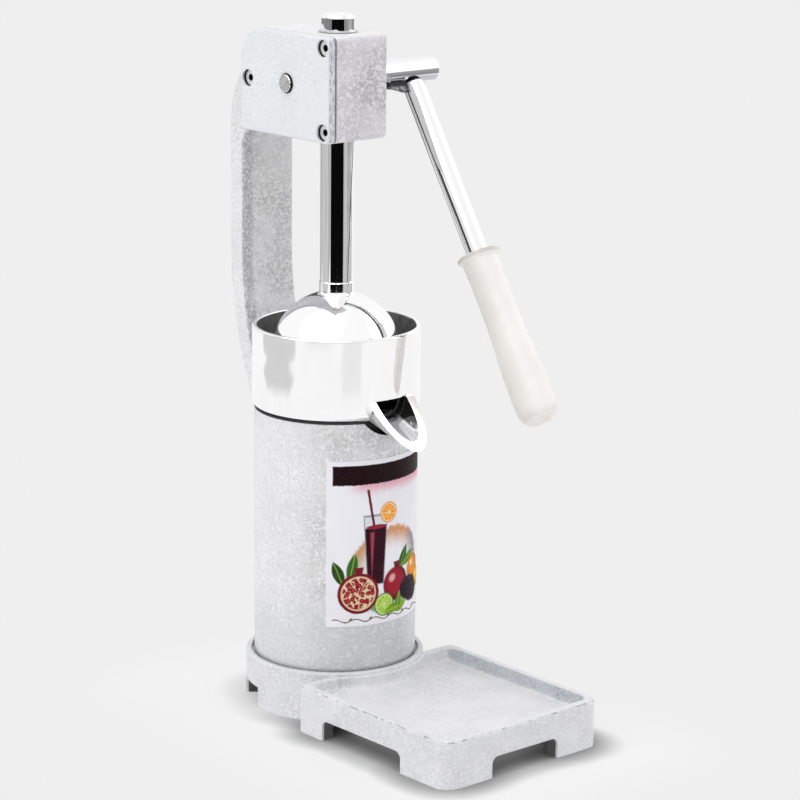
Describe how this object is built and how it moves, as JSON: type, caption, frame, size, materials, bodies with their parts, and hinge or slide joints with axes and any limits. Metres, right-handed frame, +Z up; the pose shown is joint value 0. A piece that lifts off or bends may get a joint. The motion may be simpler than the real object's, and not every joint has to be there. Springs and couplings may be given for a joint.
{
  "type": "manual citrus press",
  "caption": "Upright lever press for pomegranates: cast column, rack-and-pinion rod with pressing bell, cup with cast spout and low drip tray on legs.",
  "frame": {"origin": "on the table, under the axis of the press rod, at the centre of the round foot", "axes": "+Z up along the press rod, -Y the front where spout and tray are, +X the side of the lever"},
  "size_m": [0.1779, 0.295, 0.4956],
  "materials": {
    "hammered_paint": "silver-white hammered paint",
    "polished_casting": "polished",
    "chromed_rod": "polished chrome",
    "cream_plastic": "satin",
    "bright_steel": "zinc plated",
    "bronze": "machined bearing bronze",
    "gasket_sheet": "pressed fibre sheet",
    "printed_label": "printed film"
  },
  "bodies": {
    "frame": {"base_tray": "hammered_paint", "frame_casting": "hammered_paint", "gearbox_cover": "hammered_paint", "cover_gasket": "gasket_sheet", "cover_screws": "bright_steel", "base_bolts": "bright_steel", "base_washers": "bright_steel", "upper_rod_bush": "bright_steel", "lower_rod_bush": "bronze", "shaft_bush": "bronze", "cover_bush": "bronze", "juice_cup": "polished_casting", "strainer_plate": "bright_steel", "pressing_cone": "polished_casting", "front_label": "printed_label"},
    "lever": {"pinion_shaft": "chromed_rod", "pinion_gear": "bright_steel", "pinion_key": "bright_steel", "shaft_spacers": "bright_steel", "lever_rod": "chromed_rod", "lever_gusset": "chromed_rod", "hand_grip": "cream_plastic"},
    "press": {"rack_rod": "chromed_rod", "press_bell": "polished_casting", "bell_washer": "bright_steel", "bell_bolt": "bright_steel"}
  },
  "joints": [
    {"name": "lever_turn", "type": "hinge", "parent": "frame", "child": "lever", "pos_m": [0, 0.0198, 0.4476], "axis": [1, 0, 0], "range_deg": [-235, 0]},
    {"name": "press_slide", "type": "slide", "parent": "frame", "child": "press", "axis": [0, 0, 1], "range_m": [0, 0.0575]}
  ],
  "couplings": [
    {"joint": "press_slide", "follows": "lever_turn", "m_per_rad": -0.014}
  ]
}
